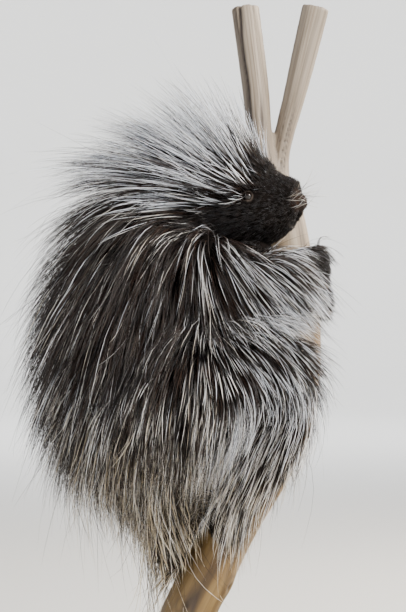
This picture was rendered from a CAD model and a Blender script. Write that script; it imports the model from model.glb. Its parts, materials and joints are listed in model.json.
"""The looks of a porcupine hunched on a bare forked branch.

Metres, +Z up. The animal faces +X, its right side is towards -Y, and 1 mm is about one pixel of the picture.
"""

import json
import math

import bmesh
import bpy
import numpy as np
from mathutils import Matrix, Vector, noise
from mathutils.bvhtree import BVHTree

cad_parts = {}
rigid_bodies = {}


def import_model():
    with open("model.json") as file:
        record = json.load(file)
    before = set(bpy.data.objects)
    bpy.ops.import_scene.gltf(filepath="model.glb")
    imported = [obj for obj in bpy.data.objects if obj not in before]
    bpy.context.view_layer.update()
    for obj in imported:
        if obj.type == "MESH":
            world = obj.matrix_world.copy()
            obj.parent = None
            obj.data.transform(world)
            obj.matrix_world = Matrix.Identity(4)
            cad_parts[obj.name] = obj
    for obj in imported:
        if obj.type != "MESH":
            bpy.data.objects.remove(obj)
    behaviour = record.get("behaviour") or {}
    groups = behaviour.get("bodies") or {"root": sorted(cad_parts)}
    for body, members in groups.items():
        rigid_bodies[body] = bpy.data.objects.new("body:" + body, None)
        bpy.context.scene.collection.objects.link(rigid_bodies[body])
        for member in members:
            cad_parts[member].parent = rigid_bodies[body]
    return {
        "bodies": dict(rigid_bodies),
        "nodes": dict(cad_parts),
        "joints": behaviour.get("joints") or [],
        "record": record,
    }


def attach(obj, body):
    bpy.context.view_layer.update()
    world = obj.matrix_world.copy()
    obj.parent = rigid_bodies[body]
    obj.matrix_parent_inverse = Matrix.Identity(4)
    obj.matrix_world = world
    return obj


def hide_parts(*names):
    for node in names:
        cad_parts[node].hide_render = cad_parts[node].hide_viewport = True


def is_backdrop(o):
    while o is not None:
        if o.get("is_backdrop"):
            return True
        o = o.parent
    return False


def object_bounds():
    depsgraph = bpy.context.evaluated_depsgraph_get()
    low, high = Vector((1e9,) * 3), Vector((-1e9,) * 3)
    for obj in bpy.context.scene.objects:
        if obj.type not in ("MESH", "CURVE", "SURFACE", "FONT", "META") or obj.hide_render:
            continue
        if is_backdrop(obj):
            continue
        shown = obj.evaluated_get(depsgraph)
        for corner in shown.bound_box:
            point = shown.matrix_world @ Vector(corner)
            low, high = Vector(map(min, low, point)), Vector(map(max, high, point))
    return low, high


SEED = 7
RIGHT, LEFT = -1, 1
SIDES = ((RIGHT, "right"), (LEFT, "left"))
DOWN = np.array((0.0, 0.0, -1.0))

# The same forms as the solids, each pulled in to where the skin lies
TORSO_CENTRE = Vector((-0.035, 0.003, 0.378))
TORSO_HALF = Vector((0.113, 0.116, 0.167))
TORSO_TAPER = 0.17
TORSO_LEAN = 0.012
NECK = ((-0.05, 0.002, 0.45, 0.078, 0.066), (-0.015, -0.003, 0.484, 0.066, 0.058),
        (0.022, -0.01, 0.499, 0.05, 0.05))
TAIL = ((-0.026, 0.004, 0.262, 0.046, 0.044), (-0.019, 0.002, 0.214, 0.041, 0.037),
        (-0.016, -0.002, 0.174, 0.032, 0.03), (-0.019, -0.004, 0.143, 0.021, 0.018))
MIDDLE_PLANE = 0.006
THIGH = ((-0.038, 0.074, 0.298, 0.044, 0.06), (0.026, 0.098, 0.322, 0.044, 0.056),
         (0.086, 0.094, 0.344, 0.036, 0.042))
SHIN = ((0.088, 0.09, 0.335, 0.032, 0.038), (0.088, 0.07, 0.282, 0.027, 0.031),
        (0.062, 0.052, 0.222, 0.02, 0.023), (0.046, 0.047, 0.186, 0.017, 0.018))
FORELEG = {
    RIGHT: ((0.008, 0.07, 0.432, 0.036, 0.046), (0.052, 0.084, 0.41, 0.033, 0.038),
            (0.092, 0.068, 0.42, 0.027, 0.029), (0.112, 0.026, 0.434, 0.021, 0.022)),
    LEFT: ((0.008, 0.07, 0.432, 0.036, 0.046), (0.052, 0.098, 0.406, 0.033, 0.038),
           (0.092, 0.106, 0.402, 0.027, 0.029), (0.11, 0.08, 0.4, 0.021, 0.022)),
}
CORE = {"torso": 0.024, "neck": 0.016, "tail": 0.009, "thigh": 0.015, "shin": 0.009, "foreleg": 0.01}
SHOULDER_HALF, SHOULDER_PLACE = (0.04, 0.036, 0.045), (0.024, 0.06, 0.38)
THROAT_HALF, THROAT_PLACE = (0.022, 0.024, 0.02), (0.06, -0.022, 0.45)
TRUNK = ((-0.02, 0.0, 0.046, 0.0285), (0.016, 0.0, 0.12, 0.028), (0.047, 0.002, 0.18, 0.027),
         (0.082, 0.006, 0.238, 0.0265), (0.103, 0.012, 0.29, 0.0265), (0.108, 0.024, 0.36, 0.026),
         (0.101, 0.044, 0.44, 0.0255), (0.093, 0.06, 0.495, 0.0235), (0.089, 0.064, 0.522, 0.014))
STEMS = (
    ((0.098, 0.054, 0.455, 0.016), (0.086, 0.062, 0.505, 0.0162), (0.0735, 0.068, 0.553, 0.0146),
     (0.0675, 0.076, 0.62, 0.0148), (0.057, 0.084, 0.706, 0.0155)),
    ((0.094, 0.05, 0.455, 0.016), (0.0925, 0.064, 0.505, 0.014), (0.0935, 0.074, 0.553, 0.0114),
     (0.11, 0.08, 0.62, 0.013), (0.131, 0.09, 0.706, 0.0155)),
)
PERCH_FOOT = 0.06
BARK = 0.0012  # how far the branch lies inside its solid
KNOTS = (  # height, turn, size
    (0.112, 0.35, 0.0105), (0.09, 1.9, 0.008), (0.15, -0.6, 0.007), (0.33, 2.4, 0.008))
LENGTHS_APART = 1.7  # keeps the wood's three lengths apart in the noise
HIND_FOOT = dict(length=0.066, width=0.019, depth=0.01, toes=5, toe=0.026, claw=0.017)
FORE_FOOT = dict(length=0.03, width=0.016, depth=0.009, toes=4, toe=0.02, claw=0.016)
HIND_HEIGHT = 0.168
FORE_HEIGHT = {RIGHT: 0.432, LEFT: 0.398}
DRAFT_VOXEL, HEAD_VOXEL, BODY_VOXEL, BRANCH_VOXEL, UNWRAP_VOXEL = 0.0016, 0.0009, 0.0024, 0.0019, 0.0045

# Head, in its own frame: x forward from between the eyes, z up from the eyes' level
HEAD_PLACE = Vector((0.0658, -0.022, 0.501))
HEAD_YAW = math.radians(-18)
HEAD_FRAME = Matrix.Translation(HEAD_PLACE) @ Matrix.Rotation(HEAD_YAW, 4, "Z")
HEAD = ((-0.062, 0.0, 0.0, 0.036, 0.038), (-0.04, 0.0, -0.003, 0.04, 0.043),
        (-0.015, 0.0, -0.004, 0.038, 0.0445), (0.005, 0.0, -0.004, 0.0335, 0.0425),
        (0.018, 0.0, -0.005, 0.0295, 0.037), (0.029, 0.0, -0.004, 0.0255, 0.03),
        (0.037, 0.0, -0.003, 0.0225, 0.0238), (0.0415, 0.0, -0.0035, 0.0188, 0.018),
        (0.044, 0.0, -0.004, 0.0112, 0.0092))
HEAD_LUMPS = (
    ((0.017, 0.008, 0.0062), (-0.001, 0.027, 0.0105)),  # brow
    ((0.02, 0.011, 0.016), (0.008, 0.0205, -0.017)),  # cheek
    ((0.011, 0.0095, 0.0125), (0.0365, 0.0085, -0.009)),  # muzzle
    ((0.0058, 0.005, 0.0062), (0.0418, 0.0064, -0.002)),  # nose pad
)
EYE_RADIUS = 0.0052
EYELIDS = ((0.0054, 0.0008, 0.001), (0.0078, -0.0001, 0.001))  # radius, height over the skin, thickness
EYE_PLACE = (0.001, 0.0316, 0.0015)
NOSTRIL_PLACE = (0.047, 0.0075, -0.002)
EAR_PLACE = (-0.046, 0.04, 0.012)
EAR_HALF = (0.014, 0.005, 0.0165)

# Coat: the guard hairs' lengths, and the way they lie
LONG = dict(body=0.096, limb=0.06, shin=0.076, tail=0.042, paw=0.009, nape=0.112, throat=0.024, face=0.005,
            crown=0.098, ear=0.008)
FOCUS = np.array((0.08, -0.024, 0.49))
BODY_FOCUS = np.array((0.042, 0.0, 0.565))
DROOP_MOST = 1.3
CREST_DROOP = 0.45
THROAT = np.array((0.06, -0.014, 0.452))
TAIL_LIE = np.array((0.36, 0, -1.0))
LIMB_START, LIMB_FULL, LIMB_TOP, LIMB_FOOT = -0.02, 0.07, 0.47, 0.23
NOSE = np.array(HEAD_FRAME @ Vector((0.062, 0, -0.004)))
GUIDE_STEPS = 10
PULL = 0.32  # how fast a hair turns to the way the coat lies
PATCH = 0.003  # size of a tuft's patch on the bake map
MOST_TRIANGLES = 190000
ROOT_DEPTH = 0.002
BOX_MARGIN = 0.0005

# Camera: level, and so far off that a pixel is a millimetre at the animal
CAMERA_AIM = Vector((0.013, -0.03, 0.394))
CAMERA_DISTANCE = 2.6
FRAME_HEIGHT = 0.612

chance = np.random.default_rng(SEED)


def ease(low, high, value):
    """0 up to low and 1 from high on, with soft ends. It falls when low is the higher."""
    share = np.clip((value - low) / (high - low), 0, 1)
    return share * share * (3 - 2 * share)


def towards(value, target, share):
    return value + (target - value) * share


def size_of(rows, axis=1):
    return np.linalg.norm(rows, axis=axis)


def gap_to(rows, place, stretch=1.0):
    return size_of((rows - np.array(place)) * stretch)


def unit(rows):
    return rows / np.maximum(np.linalg.norm(rows, axis=-1, keepdims=True), 1e-9)


# Meshes

def smooth_path(stations, steps):
    """A smooth curve through rows of numbers, with steps spans between each two."""
    rows = [Vector(row) for row in stations]
    rows = [2 * rows[0] - rows[1], *rows, 2 * rows[-1] - rows[-2]]
    made = []
    for a, b, c, d in zip(rows, rows[1:], rows[2:], rows[3:]):
        for k in range(steps):
            t = k / steps
            made.append(0.5 * (2 * b + (c - a) * t + (2 * a - 5 * b + 4 * c - d) * t ** 2
                               + (3 * b - a - 3 * c + d) * t ** 3))
    return [*made, rows[-2]]


def wall(bm, low, high):
    """Faces between two loops of vertices."""
    for k in range(len(low)):
        n = (k + 1) % len(low)
        bm.faces.new((low[k], low[n], high[n], high[k]))


def shell(rings, first_tip=None, last_tip=None, closed=False):
    """A surface over rings of points. Its ends are flat or run to tips, or it's closed into a loop."""
    bm = bmesh.new()
    loops = [[bm.verts.new(point) for point in ring] for ring in rings]
    for low, high in zip(loops, [*loops[1:], loops[0]] if closed else loops[1:]):
        wall(bm, low, high)
    for ring, tip in () if closed else ((loops[0], first_tip), (loops[-1], last_tip)):
        if tip is None:
            bm.faces.new(ring)
            continue
        point = bm.verts.new(tip)
        for k in range(len(ring)):
            bm.faces.new((ring[k], ring[(k + 1) % len(ring)], point))
    return bm


def ring_about(centre, across, up, sides):
    return [centre + across * math.cos(2 * math.pi * k / sides) + up * math.sin(2 * math.pi * k / sides)
            for k in range(sides)]


def tube(stations, sides, shrink=0.0, steps=6):
    """A round-ended limb through stations of x, y, z, half width and half depth, pulled in by shrink."""
    rows = smooth_path([row if len(row) == 5 else (*row, row[-1]) for row in stations], steps)
    centres = [Vector(row[:3]) for row in rows]
    across = Vector((0, 1, 0))
    rings, frames = [], []
    for k, row in enumerate(rows):
        along = (centres[min(k + 1, len(rows) - 1)] - centres[max(k - 1, 0)]).normalized()
        side = (across - along * across.dot(along)).normalized()
        frames.append((along, side * (row[3] - shrink), side.cross(along) * (row[4] - shrink)))
        rings.append(ring_about(centres[k], *frames[-1][1:], sides))
    tips = []
    for k, sign in ((0, -1), (-1, 1)):
        along, side, up = frames[k]
        reach = along * sign * min(side.length, up.length)
        for share in (0.35, 0.65, 0.88):
            edge = math.sqrt(1 - share ** 2)
            ring = ring_about(centres[k] + reach * share, side * edge, up * edge, sides)
            rings.insert(0 if sign < 0 else len(rings), ring)
        tips.append(centres[k] + reach)
    return shell(rings, *tips)


def ball(half, frame=Matrix(), sides=24, levels=16):
    bm = bmesh.new()
    bmesh.ops.create_uvsphere(bm, u_segments=sides, v_segments=levels, radius=1)
    bm.transform(frame @ Matrix.Diagonal((*half, 1)))
    return bm


def mesh_from(bm, name):
    mesh = bpy.data.meshes.new(name)
    bm.to_mesh(mesh)
    bm.free()
    return mesh


def linked(name, data):
    obj = bpy.data.objects.new(name, data)
    bpy.context.scene.collection.objects.link(obj)
    return obj


def object_from(bm, name):
    bmesh.ops.recalc_face_normals(bm, faces=bm.faces)
    return linked(name, mesh_from(bm, name))


def evaluated(obj):
    """Applies the object's modifiers."""
    bpy.context.view_layer.update()
    mesh = bpy.data.meshes.new_from_object(obj.evaluated_get(bpy.context.evaluated_depsgraph_get()))
    obj.modifiers.clear()
    obj.data = mesh
    return obj


def combine(obj, operation, pieces):
    """A Boolean of the object with all the pieces, which are used up."""
    group = bpy.data.collections.new("pieces")
    bpy.context.scene.collection.children.link(group)
    for piece in pieces:
        bpy.context.scene.collection.objects.unlink(piece)
        group.objects.link(piece)
    modifier = obj.modifiers.new("combine", "BOOLEAN")
    modifier.operation, modifier.solver = operation, "MANIFOLD"
    modifier.operand_type, modifier.collection = "COLLECTION", group
    evaluated(obj)
    for piece in pieces:
        bpy.data.objects.remove(piece)
    bpy.data.collections.remove(group)


def joined(pieces, name):
    """One object of all the pieces' surfaces, for a remesh to fuse."""
    bm = bmesh.new()
    for piece in pieces:
        bmesh.ops.recalc_face_normals(piece, faces=piece.faces)
        mesh = mesh_from(piece, "part")
        bm.from_mesh(mesh)
        bpy.data.meshes.remove(mesh)
    return linked(name, mesh_from(bm, name))


def remeshed(obj, voxel, rounds=0, factor=0.5):
    modifier = obj.modifiers.new("voxels", "REMESH")
    modifier.mode, modifier.voxel_size, modifier.use_smooth_shade = "VOXEL", voxel, True
    if rounds:
        soften = obj.modifiers.new("soften", "SMOOTH")
        soften.iterations, soften.factor = rounds, factor
    return evaluated(obj)


def array_of(rows, key, width=3, kind=float):
    """One property of a mesh's rows."""
    flat = np.empty(len(rows) * width, dtype=kind)
    rows.foreach_get(key, flat)
    return flat.reshape(-1, width)


def mark_points(mesh, name, rows):
    """Three numbers at each of a mesh's points, for its material."""
    mesh.attributes.new(name, "FLOAT_VECTOR", "POINT").data.foreach_set("vector", rows.reshape(-1))


# Skin

def torso_egg(shrink):
    bm = ball((1, 1, 1), sides=48, levels=32)
    half = TORSO_HALF - Vector((shrink,) * 3)
    for vert in bm.verts:
        x, y, z = vert.co
        widen = 1 - TORSO_TAPER * z
        x = x * widen * half.x + TORSO_LEAN * z ** 3
        vert.co = TORSO_CENTRE + Vector((x, y * widen * half.y, z * half.z))
    return bm


def branch_at(height):
    """(middle, way up, radius) of the trunk at a height."""
    rows = smooth_path(TRUNK, 8)
    k = min(range(1, len(rows) - 1), key=lambda i: abs(rows[i].z - height))
    return rows[k].xyz, (rows[k + 1].xyz - rows[k - 1].xyz).normalized(), rows[k].w


def foot_pieces(size, wrap, about_toes):
    """(flesh, claws) in the foot's frame, bent round the branch."""
    level = size["depth"]
    palm = ((0, 0, level, size["width"] * 0.72, size["depth"]),
            (size["length"] * 0.5, 0, level, size["width"] * 0.86, size["depth"]),
            (size["length"], 0, level, size["width"], size["depth"] * 0.9))
    flesh, claws = [tube(palm, 20, 0.0012)], []
    for k in range(size["toes"]):
        share = 2 * k / (size["toes"] - 1) - 1
        start = size["length"] - 0.006 * share ** 2
        reach = size["toe"] * (1 - 0.22 * share ** 2)
        out, thick = share * size["width"], size["width"] * 0.27
        toe = ((start, out * 0.78, level * 0.9, thick, thick * 1.2),
               (start + reach * 0.6, out * 1.02, level, thick * 1.05, thick * 1.2),
               (start + reach, out * 1.14, level * 0.8, thick * 0.8, thick * 0.85))
        flesh.append(tube(toe, 14, 0.0008, 5))
        tip, claw = start + reach, size["claw"]
        path = ((tip - 0.004, out * 1.12, level * 0.95, 0.0022),
                (tip + claw * 0.45, out * 1.2, level * 1.1, 0.0017),
                (tip + claw * 0.85, out * 1.24, level * 0.62, 0.001))
        rings = [ring_about(row.xyz, Vector((0, row.w * 0.7, 0)), Vector((0, 0, row.w)), 10)
                 for row in smooth_path(path, 4)]
        claws.append(shell(rings, None, Vector((tip + claw, out * 1.25, level * 0.28))))
    for bm in (*flesh, *claws):
        for vert in bm.verts:
            vert.co = bend(vert.co, wrap, about_toes)
    return flesh, claws


def bend(point, radius, about_toes):
    """A point of a flat foot, laid round a bar of that radius."""
    turned = (point.y if about_toes else point.x) / radius
    out, height = (radius + point.z) * math.sin(turned), (radius + point.z) * math.cos(turned) - radius
    return Vector((point.x, out, height)) if about_toes else Vector((out, point.y, height))


def foot(side, fore):
    """(flesh, claws) of one foot, gripping the trunk."""
    centre, along, radius = branch_at(FORE_HEIGHT[side] if fore else HIND_HEIGHT)
    outward = Vector((0.0 if fore else -0.25, side, 0))
    outward = (outward - along * outward.dot(along)).normalized()
    toes = outward.cross(along) * side if fore else along
    place = Matrix.Translation(centre + outward * radius) @ Matrix(
        (toes, outward.cross(toes), outward)).transposed().to_4x4()
    flesh, claws = foot_pieces(FORE_FOOT if fore else HIND_FOOT, radius + 0.0006, not fore)
    for bm in (*flesh, *claws):
        bm.transform(place)
    return flesh, claws


def one_side(stations, side):
    return tuple((x, MIDDLE_PLANE + side * out, z, wide, deep) for x, out, z, wide, deep in stations)


def in_head(forward, out, up):
    return HEAD_FRAME @ Vector((forward, out, up))


def sided(place, side):
    return Vector((place[0], side * place[1], place[2]))


def head_forms():
    """The skull with brows, cheeks, muzzle and ears, all overlapping, for the remesh to fuse."""
    made = [tube(HEAD, 48)]
    for side in (RIGHT, LEFT):
        made += [ball(half, Matrix.Translation(sided(place, side))) for half, place in HEAD_LUMPS]
        made.append(ball(EAR_HALF, ear_frame(side)))
    for bm in made:
        bm.transform(HEAD_FRAME)
    return made


def ear_frame(side):
    return (Matrix.Translation(sided(EAR_PLACE, side)) @ Matrix.Rotation(side * math.radians(-32), 4, "Z")
            @ Matrix.Rotation(side * math.radians(-14), 4, "X"))


def head_holes():
    """What is cut from the head: sockets, nostrils and the cups of the ears."""
    made = []
    for side in (RIGHT, LEFT):
        made.append(ball((EYE_RADIUS + 0.0002,) * 3, Matrix.Translation(sided(EYE_PLACE, side))))
        nostril = (NOSTRIL_PLACE[0] + 0.0015, *NOSTRIL_PLACE[1:])
        made.append(ball((0.0062, 0.0017, 0.003), Matrix.Translation(sided(nostril, side))
                         @ Matrix.Rotation(side * math.radians(38), 4, "Z")
                         @ Matrix.Rotation(side * 0.5, 4, "X")))
        made.append(ball((EAR_HALF[0] * 0.78, EAR_HALF[1] * 0.95, EAR_HALF[2] * 0.76),
                         ear_frame(side) @ Matrix.Translation((0.0015, side * 0.0052, 0.002))))
    for bm in made:
        bm.transform(HEAD_FRAME)
    return made


def mouth_line(surface, lift, count=25):
    """Points round the front of the muzzle, from one corner of the mouth to the other."""
    origin = in_head(0.01, 0, -0.0155)
    made = []
    for k in range(count):
        turn = math.pi * (k / (count - 1) - 0.5)
        target = in_head(0.016 + 0.031 * math.cos(turn), 0.03 * math.sin(turn),
                         -0.0215 - 0.006 * abs(math.sin(turn)) ** 3 + lift)
        hit = surface.ray_cast(origin, (target - origin).normalized())[0]
        made.append(hit or target)
    return made


def thread(points, radius, sides=8, closed=False):
    """A thin round bar through the points."""
    rings, count, side = [], len(points), None
    for k, point in enumerate(points):
        ahead = points[(k + 1) % count] if closed else points[min(k + 1, count - 1)]
        behind = points[k - 1] if closed or k else points[0]
        along = (ahead - behind).normalized()
        side = (along.orthogonal() if side is None else side - along * side.dot(along)).normalized()
        rings.append(ring_about(point, side * radius, side.cross(along) * radius, sides))
    return shell(rings, closed=closed)


def eyelids(surface, count=28):
    """Two rims round each eye, laid on the skin."""
    head_turn = HEAD_FRAME.to_3x3()
    made = []
    for side in (RIGHT, LEFT):
        eye = HEAD_FRAME @ sided(EYE_PLACE, side)
        skin, outward = surface.find_nearest(eye + head_turn @ Vector((0, side * 0.02, 0)))[:2]
        forward = head_turn @ Vector((1, 0, 0))
        across = (forward - outward * forward.dot(outward)).normalized()
        up = outward.cross(across) * (1 if outward.cross(across).z > 0 else -1)
        for radius, height, thick in EYELIDS:
            rim = []
            for k in range(count):
                turn = 2 * math.pi * k / count
                point = skin + across * math.cos(turn) * radius * 1.06 + up * math.sin(turn) * radius * 0.9
                near, out = surface.find_nearest(point)[:2]
                rim.append(near + out * height)
            made.append(thread(rim, thick, closed=True))
    return made


def make_skin():
    """(skin, claws by foot): one closed skin, finest on the head."""
    draft = remeshed(joined(head_forms(), "head_forms"), DRAFT_VOXEL)
    surface = BVHTree.FromObject(draft, bpy.context.evaluated_depsgraph_get())
    lips = [thread(mouth_line(surface, lift), 0.0016) for lift in (0.0016, -0.0016)]
    head = remeshed(joined([*head_forms(), *lips, *eyelids(surface)], "skin"), HEAD_VOXEL, 2, 0.35)
    holes = [object_from(bm, "hole") for bm in head_holes()]
    holes.append(object_from(thread(mouth_line(surface, 0), 0.0007), "hole"))
    combine(head, "DIFFERENCE", holes)
    bpy.data.objects.remove(draft)
    forms = [torso_egg(CORE["torso"]), tube(NECK, 40, CORE["neck"]), tube(TAIL, 32, CORE["tail"])]
    claws = {}
    for side, name in SIDES:
        x, out, z = SHOULDER_PLACE
        forms.append(ball(SHOULDER_HALF, Matrix.Translation((x, MIDDLE_PLANE + side * out, z))))
        for part, stations, sides in (("thigh", THIGH, 32), ("shin", SHIN, 28), ("foreleg", FORELEG[side], 28)):
            forms.append(tube(one_side(stations, side), sides, CORE[part]))
        for label, fore in (("fore", True), ("hind", False)):
            flesh, nails = foot(side, fore)
            forms += flesh
            claws[f"claws_{label}_{name}"] = joined(nails, f"claws_{label}_{name}")
    forms.append(ball(THROAT_HALF, Matrix.Translation(THROAT_PLACE)))
    combine(head, "UNION", [remeshed(joined(forms, "body"), BODY_VOXEL, 3, 0.5)])
    head.data.shade_smooth()
    return head, claws


# Coat

def local_to_head(points):
    back = np.array(HEAD_FRAME.inverted())
    return points @ back[:3, :3].T + back[:3, 3]


def folded(points):
    """Places in the head's own frame, the right side laid on the left."""
    local = local_to_head(points)
    local[:, 1] = np.abs(local[:, 1])
    return local


def off_branch(points):
    """How far places are from the trunk's middle line."""
    axis = np.array([row.xyz for row in smooth_path(TRUNK, 6)])
    return size_of(points[:, None] - axis[None], 2).min(1)


def on_head(points):
    local = local_to_head(points)
    near = ease(0.07, 0.06, size_of(local[:, 1:]))
    return ease(-0.08, -0.058, local[:, 0]) * near


def crest_share(points):
    """1 on the crown and nape, 0 elsewhere."""
    x, _, z = points.T
    ahead, _, up = local_to_head(points).T
    crown = ease(0.018, 0.0, ahead) * ease(0.0, 0.014, up - 0.4 * ahead)
    nape = ease(0.445, 0.48, z) * ease(-0.125, -0.075, x)
    nape = nape * ease(-0.01, 0.012, up + 0.3 * (ahead + 0.05))
    head = on_head(points)
    return crown * head + nape * (1 - head)


def coat_length(points):
    """How long the guard hairs are at a place on the skin."""
    x, _, z = points.T
    local, crest = folded(points), crest_share(points)
    body = LONG["body"] + 0.014 * ease(-0.05, -0.1, x) - 0.014 * ease(0.32, 0.26, z)
    body = towards(body, LONG["limb"], ease(0.035, 0.085, x))
    body = towards(body, LONG["shin"], ease(0.3, 0.215, z) * ease(0.03, 0.06, x))
    body = towards(body, LONG["tail"], ease(0.225, 0.19, z) * ease(0.03, 0.01, x))
    paw = ease(0.052, 0.044, off_branch(points)) * ease(0.15, 0.16, z)
    fore = ease(0.372, 0.384, z) * ease(0.458, 0.448, z)
    hind = ease(0.262, 0.245, z)
    body = body + (LONG["paw"] - body) * paw * np.maximum(fore, hind)
    body = towards(body, LONG["nape"], crest)
    body = towards(body, LONG["throat"], ease(0.038, 0.02, gap_to(points, THROAT)))
    back = ease(0.045, -0.06, local[:, 0])
    face = LONG["face"] + 0.022 * back ** 1.6 + 0.01 * ease(-0.02, -0.045, local[:, 2]) * back
    face = towards(face, LONG["crown"], crest)
    face = towards(face, LONG["ear"], ease(0.021, 0.015, gap_to(local, EAR_PLACE)))
    return towards(body, face, on_head(points))


def lie(points, crest, face, head):
    """Which way the coat lies: away from the face, ever more downwards, and forward on the limbs."""
    x, y, z = points.T
    away = points - towards(FOCUS, BODY_FOCUS, (1 - np.maximum(crest, head))[:, None])
    reach = size_of(away)
    flat = size_of(away[:, :2]) / reach
    above = np.maximum(ease(0.44, 0.49, z), crest)
    start = 0.075 + 0.04 * (1 - crest)
    droop = ease(start, start + 0.04 + 0.11 * above, reach) * DROOP_MOST
    droop = droop * (1 + (CREST_DROOP * flat - 1) * crest)
    way = unit(unit(away) + DOWN * droop[:, None])
    on_limb = ease(LIMB_START, LIMB_FULL, x) * ease(LIMB_TOP, LIMB_TOP - 0.03, z)
    on_limb = on_limb * ease(LIMB_FOOT - 0.09, LIMB_FOOT, z) * (1 - face)
    ahead = 0.62 - 1.0 * ease(0.35, 0.28, z)
    outward = 0.22 + 0.3 * ease(0.3, 0.35, z) * ease(0.4, 0.375, z)
    limb = np.stack([ahead, np.where(y > MIDDLE_PLANE, outward, -outward), np.full_like(reach, -0.8)], 1)
    way = unit(towards(way, limb, on_limb[:, None]))
    on_tail = ease(0.24, 0.19, z) * ease(0.035, 0.012, x)
    way = unit(towards(way, TAIL_LIE, on_tail[:, None]))
    return unit(towards(way, unit(points - NOSE), (face * (1 - crest))[:, None]))


def nearest(tree, points):
    near, out = np.empty_like(points), np.empty_like(points)
    for k, point in enumerate(points):
        place, normal, _, _ = tree.find_nearest(point)
        near[k], out[k] = place, normal
    return near, out


def comb(roots, normals, lengths, lifts, covers, crest, face, head, tree):
    """Middle lines of tufts: each leaves the skin at its lift, then lies over the body at up to its cover."""
    way = lie(roots, crest, face, head)
    way = unit(way - normals * np.sum(way * normals, 1, keepdims=True))
    heading = unit(way * np.cos(lifts)[:, None] + normals * np.sin(lifts)[:, None])
    step = (lengths / GUIDE_STEPS)[:, None]
    place = roots.copy()
    path = [place]
    for k in range(1, GUIDE_STEPS + 1):
        before, place = place, place + heading * step
        near, out = nearest(tree, place)
        least = covers * (k / GUIDE_STEPS) ** 0.7
        height = np.sum((place - near) * out, 1)
        place = place + out * np.maximum(least - height, 0)[:, None]
        path.append(place)
        turned = lie(place, crest, face, head)
        into = np.sum(turned * out, 1)
        slide = (into < 0) & (height < 2 * covers)
        turned = unit(turned - out * (into * 0.85 * slide)[:, None])
        heading = unit(unit(place - before) + turned * PULL)
    return np.stack(path, 1)


class Ground:
    """The skin as the coat's roots need it: places spread by area, with normals and a place on its unwrap."""

    def __init__(self, skin):
        coarse = remeshed(linked("unwrap", skin.data.copy()), UNWRAP_VOXEL)
        bpy.context.view_layer.objects.active = coarse
        coarse.select_set(True)
        bpy.ops.object.mode_set(mode="EDIT")
        bpy.ops.mesh.select_all(action="SELECT")
        bpy.ops.uv.smart_project(angle_limit=1.2, island_margin=0.002)
        bpy.ops.object.mode_set(mode="OBJECT")
        mesh = coarse.data
        mesh.calc_loop_triangles()
        self.points = array_of(mesh.vertices, "co")
        self.triangles = array_of(mesh.loop_triangles, "vertices", kind=np.int64)
        corners = array_of(mesh.loop_triangles, "loops", kind=np.int64)
        self.places = array_of(mesh.uv_layers.active.data, "uv", 2)[corners]
        corners = self.points[self.triangles]
        self.areas = size_of(np.cross(corners[:, 1] - corners[:, 0], corners[:, 2] - corners[:, 0])) / 2
        self.tree = BVHTree.FromObject(skin, bpy.context.evaluated_depsgraph_get())
        bpy.data.objects.remove(coarse)

    def roots(self, per_metre, keep):
        """(places, normals, unwrap places) of about per_metre roots on a square metre, thinned by keep."""
        count = int(per_metre * self.areas.sum())
        faces = chance.choice(len(self.areas), count, p=self.areas / self.areas.sum())
        a, b = np.sort(chance.random((2, count)), axis=0)
        weights = np.stack([a, b - a, 1 - b], 1)[:, :, None]
        places = np.sum(self.points[self.triangles[faces]] * weights, 1)
        wanted = keep(places) > chance.random(count)
        places, maps = places[wanted], np.sum(self.places[faces] * weights, 1)[wanted]
        near, out = nearest(self.tree, places)
        return near, out, maps


def resample(paths, shares):
    """Points at the given shares of each path's length."""
    spot = shares * (paths.shape[1] - 1)
    low = np.minimum(spot.astype(int), paths.shape[1] - 2)
    part = (spot - low)[..., None]
    rows = np.arange(len(paths))[:, None]
    return paths[rows, low] * (1 - part) + paths[rows, low + 1] * part


def tuft_members(paths, normals, maps, members, spread, gather, frizz, points):
    """Each tuft's hairs: beside its middle line at the root, gathered towards it at the tips."""
    paths, normals, maps = (np.repeat(rows, members, 0) for rows in (paths, normals, maps))
    count = len(paths)
    along = unit(paths[:, 1] - paths[:, 0])
    side = unit(np.cross(along, normals))
    ahead = unit(np.cross(normals, side))
    turn, reach = chance.random(count) * 2 * math.pi, np.sqrt(chance.random(count)) * spread
    offset = side * (np.cos(turn) * reach)[:, None] + ahead * (np.sin(turn) * reach)[:, None]
    lengths = chance.uniform(0.72, 1.0, count)
    t = np.linspace(0, 1, points)
    made = resample(paths, lengths[:, None] * t[None, :])
    made = made + offset[:, None, :] * (1 - gather * t ** 1.3)[None, :, None]
    total = size_of(paths[:, -1] - paths[:, 0])
    stray = chance.normal(0, 1, (count, 3)) * (total * frizz)[:, None]
    wave = chance.normal(0, 1, (count, 3)) * (total * frizz * 0.4)[:, None]
    made = (made + stray[:, None, :] * (t ** 1.8)[None, :, None]
            + wave[:, None, :] * np.sin(math.pi * t)[None, :, None])
    made[:, 0] -= normals * ROOT_DEPTH
    return made, normals, maps


def cut_to_box(paths, low, high):
    """Hairs that leave the box are drawn in to its side, or left out when most of one is outside."""
    out = np.any((paths < low) | (paths > high), axis=2)
    first = np.where(out.any(1), out.argmax(1), paths.shape[1])
    share = np.minimum((first - 1) / (paths.shape[1] - 1), 1)
    t = np.linspace(0, 1, paths.shape[1])
    return resample(paths, np.maximum(share, 0)[:, None] * t[None, :]), share > 0.55


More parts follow.
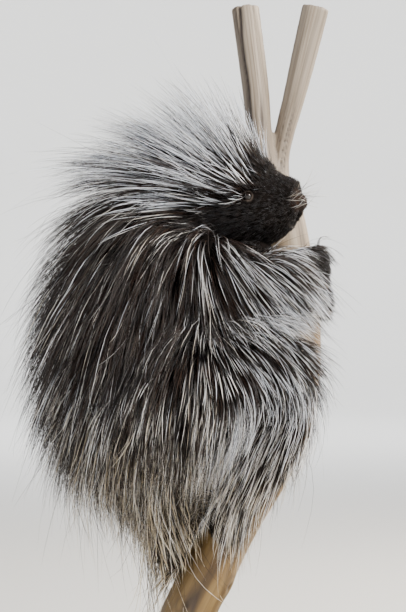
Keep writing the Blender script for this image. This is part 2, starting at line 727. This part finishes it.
def add_strands(name, paths, normals, maps, width, flat, tone, low, high, blunt=1.5):
    """Solid three-sided hairs that taper to their tips, in pieces of fewer than MOST_TRIANGLES.

    tone gives each hair how pale it gets, where along it that starts, its warmth, its lightness elsewhere and
    where the pale part ends.
    """
    paths, kept = cut_to_box(paths, low, high)
    paths, normals, maps, width, tone = paths[kept], normals[kept], maps[kept], width[kept], tone[kept]
    n, points, _ = paths.shape
    rings = points - 1
    along = unit(np.gradient(paths, axis=1))[:, :rings]
    side = unit(np.cross(along, normals[:, None, :]))
    up = np.cross(side, along)
    turns = np.radians((90, 210, 330))
    share = np.arange(rings) / rings
    thick = width[:, None] * (1 - 0.75 * share[None, :] ** blunt)
    corners = (side[:, :, None, :] * np.cos(turns)[None, None, :, None]
               + up[:, :, None, :] * (np.sin(turns) * flat)[None, None, :, None]) * thick[:, :, None, None]
    bars = (paths[:, :rings, None, :] + corners).reshape(n, rings * 3, 3)
    verts = np.concatenate([bars, paths[:, -1:, :]], 1)
    pattern = [(0, 1, 2)]
    for k in range(rings - 1):
        for j in range(3):
            a, b = 3 * k + j, 3 * k + (j + 1) % 3
            pattern += [(a, b + 3, b), (a, a + 3, b + 3)]
    for j in range(3):
        pattern.append((3 * (rings - 1) + j, 3 * rings, 3 * (rings - 1) + (j + 1) % 3))
    pattern = np.array(pattern)
    at = np.concatenate([np.repeat(share, 3), [1.0]])
    across = np.concatenate([np.tile((0.0, 0.5, 1.0), rings), [0.5]])
    shift = np.stack([at - 0.5, across - 0.5], 1) * PATCH
    stop = max(1, MOST_TRIANGLES // len(pattern))
    made = []
    for part, start in enumerate(range(0, n, stop)):
        rows = slice(start, min(start + stop, n))
        count = rows.stop - rows.start
        mesh = bpy.data.meshes.new(f"{name}_{part + 1}")
        per = verts.shape[1]
        faces = (pattern[None] + (np.arange(count) * per)[:, None, None]).reshape(-1)
        mesh.vertices.add(count * per)
        mesh.vertices.foreach_set("co", verts[rows].reshape(-1))
        mesh.loops.add(len(faces))
        mesh.loops.foreach_set("vertex_index", faces)
        mesh.polygons.add(len(faces) // 3)
        mesh.polygons.foreach_set("loop_start", np.arange(0, len(faces), 3))
        mesh.polygons.foreach_set("loop_total", np.full(len(faces) // 3, 3))
        mesh.polygons.foreach_set("use_smooth", np.ones(len(faces) // 3, dtype=bool))
        spots = (maps[rows][:, None, :] + shift[None]).reshape(-1, 2)
        mesh.uv_layers.new(name="OFBake").data.foreach_set("uv", spots[faces].reshape(-1))
        pale, first, warmth, dark, last = tone[rows].T[:, :, None]
        rise = ease(0, 1, (at - first) / 0.3)
        fall = 1 - ease(0, 1, (at - last) / 0.15)
        mark_points(mesh, "tone", np.stack(np.broadcast_arrays(pale * rise * fall, warmth, dark), -1))
        mesh.update()
        made.append(linked(mesh.name, mesh))
    return made


def body_share(points):
    return ease(0.018, 0.026, coat_length(points)) * (1 - crest_share(points))


def coat_share(points):
    return np.maximum(body_share(points), crest_share(points))


def rump_share(points, top, level, front, back):
    """The body's hair below a height and behind a place."""
    x, _, z = points.T
    return body_share(points) * ease(top, level, z) * ease(front, back, x)


def face_share(points):
    return 1 - ease(0.024, 0.034, coat_length(points))


def clear_of_face(points):
    """False on the eyes and nostrils."""
    local = folded(points)
    ahead = gap_to(local - np.array(EYE_PLACE), (0.004, 0, 0))
    return ((gap_to(local, EYE_PLACE, (1, 1, 1.15)) > 0.0072) & (ahead > 0.0082)
            & (gap_to(local, NOSTRIL_PLACE) > 0.005))


def streak_share(points):
    """The cheeks behind and below the eyes."""
    ahead, _, up = local_to_head(points).T
    return ease(1.2, 0.5, np.hypot((ahead + 0.026) / 0.018, (up + 0.007) / 0.011)) * on_head(points)


def pale_share(points):
    """What part of the guard hairs have pale tips."""
    x, _, z = points.T
    low = ease(0.38, 0.26, z) * ease(-0.135, -0.06, x)
    thigh = ease(-0.01, 0.05, x)
    shoulder = ease(0.4, 0.47, z)
    return np.clip(0.05 + 0.17 * low + 0.46 * thigh + 0.06 * shoulder, 0, 0.9)


def warmth_of(points):
    """0 for blue-white tips, 1 for cream ones."""
    low = ease(0.36, 0.22, points[:, 2])
    thigh = ease(0.0, 0.06, points[:, 0])
    return np.clip(0.34 + 0.52 * low - 0.3 * thigh - 0.3 * crest_share(points), 0, 1)


# per_metre: tufts on a square metre, before keep thins them. lift: degrees off the skin at the root. cover:
# height over the skin as a share of the coat's length. spread: a tuft's radius. gather, frizz: how far its
# hairs draw together and stray. flat: depth to width. pale: share of hairs with a pale part. lit: how pale that
# part is, from start to end along the hair. dark: how light the rest may get.
FAMILIES = (
    dict(name="under_fur", per_metre=8000, keep=coat_share, length=lambda p: coat_length(p) * 0.6, lift=24,
         cover=0.24, members=8, spread=0.0048, gather=0.4, frizz=0.05, points=4, width=0.0008, flat=0.5,
         pale=lambda p: pale_share(p) * 0.05, lit=(0.2, 0.5), start=(0.4, 0.8)),
    dict(name="guard_hair", per_metre=22000, keep=body_share, length=coat_length, lift=27, cover=0.52,
         members=4, spread=0.0056, gather=0.06, frizz=0.045, width=0.00031, pale=pale_share, lit=(0.6, 1.0),
         start=(0.1, 0.6)),
    dict(name="crest", per_metre=40000, keep=crest_share, length=lambda p: coat_length(p) * 1.2, lift=30,
         cover=0.36, members=6, spread=0.005, gather=0.04, frizz=0.055, points=8, width=0.00032,
         pale=lambda p: 0.3 + 0.3 * ease(-0.06, 0.04, p[:, 0]), lit=(0.75, 1.0), start=(0.0, 0.45)),
    dict(name="face_fur", per_metre=210000, keep=lambda p: face_share(p) * clear_of_face(p), length=coat_length,
         lift=20, cover=0.18, members=4, spread=0.0014, gather=0.2, frizz=0.08, points=3,
         width=lambda p: 0.00027 + 0.006 * coat_length(p), flat=0.6, pale=0.03, lit=(0.2, 0.6),
         start=(0.3, 0.7), dark=0.75),
    dict(name="streaks", per_metre=9000, keep=streak_share, length=0.017, lift=24, cover=0.16, spread=0.0012,
         gather=0.3, frizz=0.1, points=5, width=0.00024, pale=0.8, lit=(0.5, 0.9), start=(0.0, 0.4)),
    dict(name="quills", per_metre=7000, keep=lambda p: rump_share(p, 0.36, 0.27, 0.07, 0.04),
         length=lambda p: 0.05 + 0.12 * (coat_length(p) - 0.05), lift=30, cover=0.5, spread=0.004, frizz=0.04,
         width=0.0007, flat=0.95, pale=1.0, lit=(0.75, 1.0), start=(-0.4, 0.1), end=(0.78, 0.9)),
    dict(name="strays", per_metre=1200, keep=coat_share, length=lambda p: 0.012 + 1.3 * coat_length(p), lift=40,
         cover=0.62, frizz=0.13, points=7, width=0.00026, flat=0.9, pale=lambda p: 0.28 + 0.4 * crest_share(p),
         lit=(0.6, 1.0), start=(-0.1, 0.5)),
    dict(name="fringe", per_metre=9000, keep=lambda p: rump_share(p, 0.34, 0.26, 0.01, -0.05), length=0.126,
         lift=24, cover=0.36, members=3, frizz=0.12, points=8, width=0.00034, pale=0.6, lit=(0.5, 0.9),
         start=(-0.1, 0.3)),
)


def value_at(value, points):
    return value(points) if callable(value) else value


def family(ground, obstacles, low, high, name, per_metre, keep, length, lift, cover, frizz, width, pale, lit,
           start, members=2, spread=0.006, gather=0.0, points=6, flat=0.8, end=(1.2, 1.4), dark=1.0):
    roots, normals, maps = ground.roots(per_metre, keep)
    n = len(roots)
    head = on_head(roots)
    crest, face = crest_share(roots), face_share(roots) * head
    lengths = value_at(length, roots) * chance.uniform(0.82, 1.12, n)
    near_face = ease(0.045, 0.13, gap_to(roots, FOCUS))
    full = crest + (1 - crest) * (0.4 + 0.6 * near_face)
    covers = coat_length(roots) * cover * chance.uniform(0.35, 1.0, n) * full
    lifts = np.radians(chance.normal(lift, 5, n))
    paths = comb(roots, normals, lengths, lifts, covers, crest, face, head, obstacles)
    hairs, outs, spots = tuft_members(paths, normals, maps, members, spread, gather, frizz, points)
    count = len(hairs)
    many = np.repeat(roots, members, 0)
    paled = np.where(chance.random(count) < value_at(pale, many),
                     chance.uniform(*lit, count), chance.uniform(0, 0.1, count))
    tone = np.stack([
        paled, chance.uniform(*start, count), np.clip(warmth_of(many) + chance.normal(0, 0.18, count), 0, 1),
        chance.random(count) * dark, chance.uniform(*end, count)], 1)
    sizes = value_at(width, many) * chance.uniform(0.75, 1.25, count) * np.where(paled > 0.4, 1.25, 1.0)
    return add_strands(name, hairs, outs, spots, sizes, flat, tone, low, high)


def whiskers(ground, low, high, tries=18, width=0.00021):
    """Long stiff hairs on the front of the muzzle."""
    paths, outs = [], []
    turn = np.array(HEAD_FRAME.to_3x3())
    t = np.linspace(0, 1, 9)[:, None]
    for side in (RIGHT, LEFT):
        for _ in range(tries):
            start = Vector((chance.uniform(0.038, 0.05), side * 0.05, chance.uniform(-0.013, 0.01)))
            aim = Vector((start.x - 0.004, 0, start.z))
            origin = HEAD_FRAME @ start
            hit, normal, _, _ = ground.tree.ray_cast(origin, (HEAD_FRAME @ aim - origin).normalized())
            if hit is None:
                continue
            way = np.array((chance.uniform(0.7, 1.0), side * chance.uniform(0.05, 0.6),
                            chance.uniform(-0.3, 0.9)))
            curl = np.array((-0.35, side * 0.15, chance.uniform(-0.3, 0.2)))
            long = chance.uniform(0.016, 0.042)
            spine = (unit(way) * t + curl * 0.5 * t ** 2) * long
            paths.append(np.array(hit) - np.array(normal) * 0.001 + spine @ turn.T)
            outs.append(np.array(normal))
    n = len(paths)
    tone = np.stack([chance.uniform(0.3, 1.0, n), chance.uniform(0.0, 0.4, n), chance.uniform(0.2, 0.8, n),
                     chance.random(n), np.full(n, 1.3)], 1)
    return add_strands("whiskers", np.array(paths), np.array(outs), np.full((n, 2), 0.5), np.full(n, width),
                       1.0, tone, low, high)


def coat(ground, obstacles, low, high):
    made = []
    for row in FAMILIES:
        made += family(ground, obstacles, low, high, **row)
    return made + whiskers(ground, low, high)


# Materials

class Shader:
    """A material, and the nodes that feed it."""

    def __init__(self, name, roughness, metallic=0.0, specular=0.5):
        self.made = bpy.data.materials.new(name)
        self.made.use_nodes = True
        self.nodes, self.links = self.made.node_tree.nodes, self.made.node_tree.links
        self.inputs = self.nodes["Principled BSDF"].inputs
        self.inputs["Roughness"].default_value = roughness
        self.inputs["Metallic"].default_value = metallic
        self.inputs["Specular IOR Level"].default_value = specular

    def paint(self, colour):
        self.links.new(colour, self.inputs["Base Color"])

    def node(self, kind, **inputs):
        """A new node, each input linked to a socket or set to a value."""
        made = self.nodes.new("ShaderNode" + kind)
        for name, source in inputs.items():
            if isinstance(source, bpy.types.NodeSocket):
                self.links.new(source, made.inputs[name])
            else:
                made.inputs[name].default_value = source
        return made

    def attribute(self, name):
        made = self.node("Attribute")
        made.attribute_name = name
        return made.outputs["Vector"]

    def parts(self, name):
        """The three numbers of an attribute."""
        return tuple(self.node("SeparateXYZ", Vector=self.attribute(name)).outputs)

    def ramp(self, source, *stops):
        made = self.node("ValToRGB", Fac=source)
        elements = made.color_ramp.elements
        while len(elements) < len(stops):
            elements.new(0.5)
        for element, (place, colour) in zip(elements, stops):
            element.position, element.color = place, (*colour, 1)
        return made.outputs[0]

    def mix(self, share, a, b, kind="MIX"):
        """a with b laid over it. share is a number or a socket."""
        made = self.node("Mix")
        made.data_type, made.blend_type = "RGBA", kind
        if isinstance(share, float):
            made.inputs[0].default_value = share
        else:
            self.links.new(share, made.inputs[0])
        self.links.new(a, made.inputs[6])
        self.links.new(b, made.inputs[7])
        return made.outputs[2]

    def noise(self, scale, detail=4, stretch=(1, 1, 1), attribute=None):
        source = self.attribute(attribute) if attribute else self.node("TexCoord").outputs["Object"]
        place = self.node("Mapping", Vector=source, Scale=stretch).outputs[0]
        return self.node("TexNoise", Vector=place, Scale=scale, Detail=detail).outputs["Fac"]

    def bump(self, height, strength, distance):
        made = self.node("Bump", Strength=strength, Distance=distance, Height=height)
        self.links.new(made.outputs[0], self.inputs["Normal"])


def grained(name, roughness, scale, *stops, metallic=0.0, specular=0.5, detail=4, stretch=(1, 1, 1), bump=None):
    """A material whose colour, and any bump, follows one noise."""
    shader = Shader(name, roughness, metallic, specular)
    height = shader.noise(scale, detail, stretch)
    shader.paint(shader.ramp(height, *stops))
    if bump is not None:
        shader.bump(height, *bump)
    return shader.made


def cover(obj, material):
    obj.data.materials.clear()
    obj.data.materials.append(material)


def hair_material():
    hair = Shader("hair", 0.48, specular=0.16)
    paleness, warmth, lightness = hair.parts("tone")
    dark = hair.ramp(lightness, (0.0, (0.003, 0.0022, 0.002)), (0.6, (0.01, 0.006, 0.0045)),
                     (1.0, (0.042, 0.022, 0.014)))
    pale = hair.ramp(warmth, (0.0, (0.84, 0.88, 0.96)), (0.5, (0.9, 0.86, 0.8)), (1.0, (0.86, 0.7, 0.46)))
    hair.paint(hair.mix(paleness, dark, pale))
    return hair.made


def mark_skin(mesh):
    """Bare skin for the material: x is the rims of the eyelids, y the nose pad."""
    local = folded(array_of(mesh.vertices, "co"))
    eye, nose = gap_to(local, EYE_PLACE), gap_to(local, NOSTRIL_PLACE, (1, 0.7, 0.8))
    mark_points(mesh, "bare", np.stack([ease(0.007, 0.006, eye), ease(0.0115, 0.007, nose), 0 * eye], 1))


def skin_material():
    skin = Shader("skin", 0.85, specular=0.05)
    on_rims, on_nose, _ = skin.parts("bare")
    colour = skin.ramp(skin.noise(60), (0.3, (0.0025, 0.002, 0.0018)), (0.7, (0.006, 0.0042, 0.0034)))
    rims = skin.ramp(skin.noise(400), (0.3, (0.022, 0.017, 0.014)), (0.7, (0.052, 0.041, 0.034)))
    nose = skin.ramp(skin.noise(500), (0.3, (0.014, 0.009, 0.007)), (0.7, (0.032, 0.019, 0.014)))
    skin.paint(skin.mix(on_rims, skin.mix(on_nose, colour, nose), rims))
    skin.bump(skin.noise(900, 3), 0.35, 0.0006)
    return skin.made


def wood_material():
    """Weathered wood: long fibres, warm at the foot and greyer up the stems, with dark cracks and knots."""
    wood = Shader("branch_wood", 0.58)
    in_cracks, greyness, _ = wood.parts("marks")
    fibre, grain, stains = (wood.noise(1.0, detail, stretch, "along") for detail, stretch in (
        (8, (230, 230, 9)), (5, (70, 70, 5)), (4, (22, 22, 14))))
    warm = wood.ramp(grain, (0.25, (0.085, 0.048, 0.014)), (0.42, (0.178, 0.11, 0.036)),
                     (0.6, (0.255, 0.166, 0.06)), (0.85, (0.34, 0.238, 0.102)))
    grey = wood.ramp(grain, (0.25, (0.095, 0.074, 0.055)), (0.42, (0.2, 0.162, 0.122)),
                     (0.6, (0.285, 0.237, 0.184)), (0.85, (0.37, 0.322, 0.262)))
    lines = wood.ramp(fibre, (0.3, (0.42, 0.36, 0.3)), (0.5, (0.92, 0.9, 0.88)), (0.75, (1.0, 1.0, 1.0)))
    patches = wood.ramp(stains, (0.3, (0.52, 0.42, 0.33)), (0.5, (0.95, 0.93, 0.9)), (0.7, (1.0, 1.0, 1.0)))
    dark = wood.node("RGB").outputs[0]
    dark.default_value = (0.03, 0.017, 0.01, 1)
    base = wood.mix(0.85, wood.mix(greyness, warm, grey), lines, "MULTIPLY")
    wood.paint(wood.mix(in_cracks, wood.mix(0.6, base, patches, "MULTIPLY"), dark))
    wood.bump(fibre, 0.55, 0.0008)
    return wood.made


# Branch

def make_branch():
    """The perch's three lengths fused and softened, cut level at the foot and weathered."""
    forms = []
    for stations in (TRUNK, *STEMS):
        rows = smooth_path(stations, 12)
        rings = []
        for k, row in enumerate(rows):
            along = (rows[min(k + 1, len(rows) - 1)].xyz - rows[max(k - 1, 0)].xyz).normalized()
            side = (Vector((0, 1, 0)) - along * along.y).normalized()
            rings.append(ring_about(row.xyz, side * (row.w - BARK), side.cross(along) * (row.w - BARK), 48))
        forms.append(shell(rings))
    branch = remeshed(joined(forms, "branch"), BRANCH_VOXEL, 6, 0.5)
    bm = bmesh.new()
    bmesh.ops.create_cube(bm, size=0.2)
    bm.transform(Matrix.Translation((0, 0, PERCH_FOOT - 0.1)))
    combine(branch, "DIFFERENCE", [object_from(bm, "foot")])
    weather(branch.data)
    branch.data.shade_smooth()
    return branch


def on_lengths(points):
    """(places in the wood laid out straight, turns about its middle line, how clear of where lengths meet)."""
    rows = np.arange(len(points))
    offs, places, turns = [], [], []
    for number, stations in enumerate((TRUNK, *STEMS)):
        axis = np.array([tuple(row) for row in smooth_path(stations, 10)])
        span = np.diff(axis[:, :3], axis=0)
        long = size_of(span)
        run = np.concatenate([[0], np.cumsum(long)])
        from_start = points[:, None] - axis[None, :-1, :3]
        share = np.clip(np.einsum("nij,ij->ni", from_start, span) / long ** 2, 0, 1)
        gap = size_of(from_start - span[None] * share[..., None], 2)
        k = gap.argmin(1)
        part = share[rows, k]
        way = from_start[rows, k] - span[k] * part[:, None]
        turn = np.arctan2(way[:, 0], -way[:, 1])
        up = run[k] + part * long[k] + number * LENGTHS_APART
        offs.append(gap[rows, k] / (axis[k, 3] * (1 - part) + axis[k + 1, 3] * part))
        places.append(np.stack([np.sin(turn) * 0.03, np.cos(turn) * 0.03, up], 1))
        turns.append(turn)
    best, ranked = np.argmin(offs, 0), np.sort(offs, 0)
    return np.array(places)[best, rows], np.array(turns)[best, rows], ease(0.02, 0.3, ranked[1] - ranked[0])


def wood_noise(place, across, along, shift=0):
    x, y, z = place
    return noise.noise(Vector((x * across, y * across, z * along + shift)))


def weather(mesh):
    """Fibres, cracks and knots in the surface. The marks' x is how dark a place is, y how grey."""
    points, normals = array_of(mesh.vertices, "co"), array_of(mesh.vertices, "normal")
    spot, turned, apart = on_lengths(points)
    depth, marks = np.empty(len(points)), np.zeros((len(points), 3))
    for k, place in enumerate(spot):
        crack = abs(wood_noise(place, 60, 3, 9))
        present = max(0.0, wood_noise(place, 30, 9, 2) + 0.05)
        split = max(0.0, 1 - crack * 9) * min(1.0, present * 4)
        depth[k] = 0.0004 * wood_noise(place, 260, 14) + 0.001 * wood_noise(place, 50, 10, 5) - 0.0014 * split
        marks[k, 0] = min(0.9, split)
    up, height = spot[:, 2], points[:, 2]
    first_stem = (up > LENGTHS_APART - 0.1) & (up < 2 * LENGTHS_APART - 0.1)
    line = turned + 0.62 + 0.1 * np.sin(up * 31) + 0.05 * np.sin(up * 83)
    long_crack = first_stem * np.exp(-(line / 0.13) ** 2) * ease(0.525, 0.57, height)
    depth -= 0.003 * long_crack
    marks[:, 0] = np.maximum(marks[:, 0], np.minimum(1, long_crack * 1.4))
    marks[:, 1] = ease(0.3, 0.55, height)
    for level, side, radius in KNOTS:
        middle, _, girth = branch_at(level)
        knot = np.array(middle) + np.array((math.cos(side), -math.sin(side), 0)) * girth
        gap = gap_to(points, knot, (1, 1, 0.8)) / radius
        depth += 0.003 * (np.exp(-gap ** 2) - 1.3 * np.exp(-(gap * 2.6) ** 2))
        dark = 0.85 * np.exp(-(gap * 2.2) ** 2) + 0.4 * np.exp(-((gap - 1) * 5) ** 2)
        marks[:, 0] = np.maximum(marks[:, 0], dark)
    depth, marks[:, 0] = depth * apart, marks[:, 0] * apart
    mesh.vertices.foreach_set("co", (points + normals * depth[:, None]).reshape(-1))
    mark_points(mesh, "along", spot)
    mark_points(mesh, "marks", marks)
    mesh.update()


# Stage

FLOOR = ((2.0, 0.0), (7.0, 0.0), (7.8, 0.08), (8.4, 0.35), (8.8, 0.9), (8.9, 2.6))  # radius, height
LAMPS = (  # name, place, aim, power, size, colour
    ("key", (1.8, -1.2, 2.1), (0, 0, 0.42), 190, 0.6, (1.0, 0.96, 0.9)),
    ("rim", (1.6, 1.1, 1.5), (0.05, 0, 0.42), 85, 0.5, (1.0, 0.88, 0.72)),
    ("left", (-1.8, -1.4, 1.5), (0, 0, 0.4), 16, 1.2, (0.94, 0.96, 1.0)),
)
WALL_LAMPS = 8


def set_stage(sides=64):
    """A wide pale floor that rises to a low wall all round, and soft lamps."""
    bm = bmesh.new()
    rows = [[bm.verts.new((r * math.cos(2 * math.pi * k / sides), r * math.sin(2 * math.pi * k / sides), z))
             for k in range(sides)] for r, z in FLOOR]
    middle = bm.verts.new((0, 0, 0))
    for k in range(sides):
        bm.faces.new((middle, rows[0][k], rows[0][(k + 1) % sides]))
    for low, high in zip(rows, rows[1:]):
        wall(bm, high, low)
    floor = object_from(bm, "floor")
    floor.data.shade_smooth()
    cover(floor, grained("backdrop", 0.95, 0.6, (0.0, (0.62, 0.62, 0.61)), (1.0, (0.66, 0.66, 0.65))))
    floor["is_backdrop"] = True
    world = bpy.data.worlds.new("room")
    world.use_nodes = True
    world.node_tree.nodes["Background"].inputs[0].default_value = (0.92, 0.95, 1.0, 1)
    world.node_tree.nodes["Background"].inputs[1].default_value = 0.55
    bpy.context.scene.world = world
    lamps = [*LAMPS]
    for k in range(WALL_LAMPS):
        turn = (k + 0.5) * 2 * math.pi / WALL_LAMPS
        out = Vector((math.cos(turn), math.sin(turn), 0))
        lamps.append((f"wall_{k + 1}", out * 5.2 + Vector((0, 0, 3.6)), out * 7.8 + Vector((0, 0, 0.2)),
                      300, 3.2, (1.0, 1.0, 1.0)))
    for name, place, aim, power, size, colour in lamps:
        light = bpy.data.lights.new(name, "AREA")
        light.energy, light.size, light.color = power, size, colour
        lamp = linked(name, light)
        lamp.location = place
        lamp.rotation_mode = "QUATERNION"
        lamp.rotation_quaternion = (Vector(place) - Vector(aim)).to_track_quat("Z", "Y")
        lamp.visible_camera = False
    camera = linked("camera", bpy.data.cameras.new("camera"))
    camera.location = CAMERA_AIM - Vector((0, CAMERA_DISTANCE, 0))
    camera.rotation_euler = (math.pi / 2, 0, 0)
    camera.data.lens = camera.data.sensor_width * CAMERA_DISTANCE / FRAME_HEIGHT
    bpy.context.scene.camera = camera


def main():
    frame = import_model()
    low, high = (np.array(corner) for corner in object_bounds())
    skin, claws = make_skin()
    branch = make_branch()
    ground = Ground(skin)
    bm = bmesh.new()
    for obj in (skin, branch):
        bm.from_mesh(obj.data)
    obstacles = BVHTree.FromBMesh(bm)
    bm.free()
    hairs = coat(ground, obstacles, low + BOX_MARGIN, high - BOX_MARGIN)
    fur = hair_material()
    for obj in hairs:
        cover(obj, fur)
        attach(obj, "root")
    mark_skin(skin.data)
    cover(skin, skin_material())
    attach(skin, "root")
    flesh = ["torso", "neck", "tail", "head"]
    for side in ("right", "left"):
        flesh += [f"{part}_{side}" for part in ("ear", "foreleg", "forefoot", "thigh", "shin", "hindfoot")]
    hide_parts(*flesh)
    horn = grained("horn", 0.35, 300, (0.3, (0.05, 0.038, 0.028)), (0.75, (0.13, 0.095, 0.065)))
    for obj in claws.values():
        cover(obj, horn)
        obj.data.shade_smooth()
        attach(obj, "root")
    cover(branch, wood_material())
    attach(branch, "root")
    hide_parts("perch")
    gloss = grained("eyeball", 0.04, 400, (0.3, (0.003, 0.002, 0.002)), (0.8, (0.012, 0.007, 0.004)),
                    specular=0.45, detail=2)
    for side, name in SIDES:
        place = HEAD_FRAME @ sided(EYE_PLACE, side)
        eye = object_from(ball((EYE_RADIUS,) * 3, Matrix.Translation(place), 40, 28), f"eyeball_{name}")
        eye.data.shade_smooth()
        cover(eye, gloss)
        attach(eye, "root")
        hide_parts(f"eye_{name}")
    dark_wood = grained("stand_wood", 0.42, 4, (0.3, (0.03, 0.015, 0.008)), (0.5, (0.075, 0.04, 0.022)),
                        (0.7, (0.12, 0.068, 0.038)), detail=5, stretch=(2.5, 26, 26), bump=(0.12, 0.0004))
    steel = grained("stand_steel", 0.28, 12, (0.3, (0.46, 0.46, 0.47)), (0.7, (0.62, 0.62, 0.63)), metallic=1.0,
                    detail=5, stretch=(60, 60, 2), bump=(0.12, 0.0004))
    for node, finish in (("stand_base", dark_wood), ("stand_rod_back", steel), ("stand_rod_front", steel)):
        cover(frame["nodes"][node], finish)
    set_stage()


main()
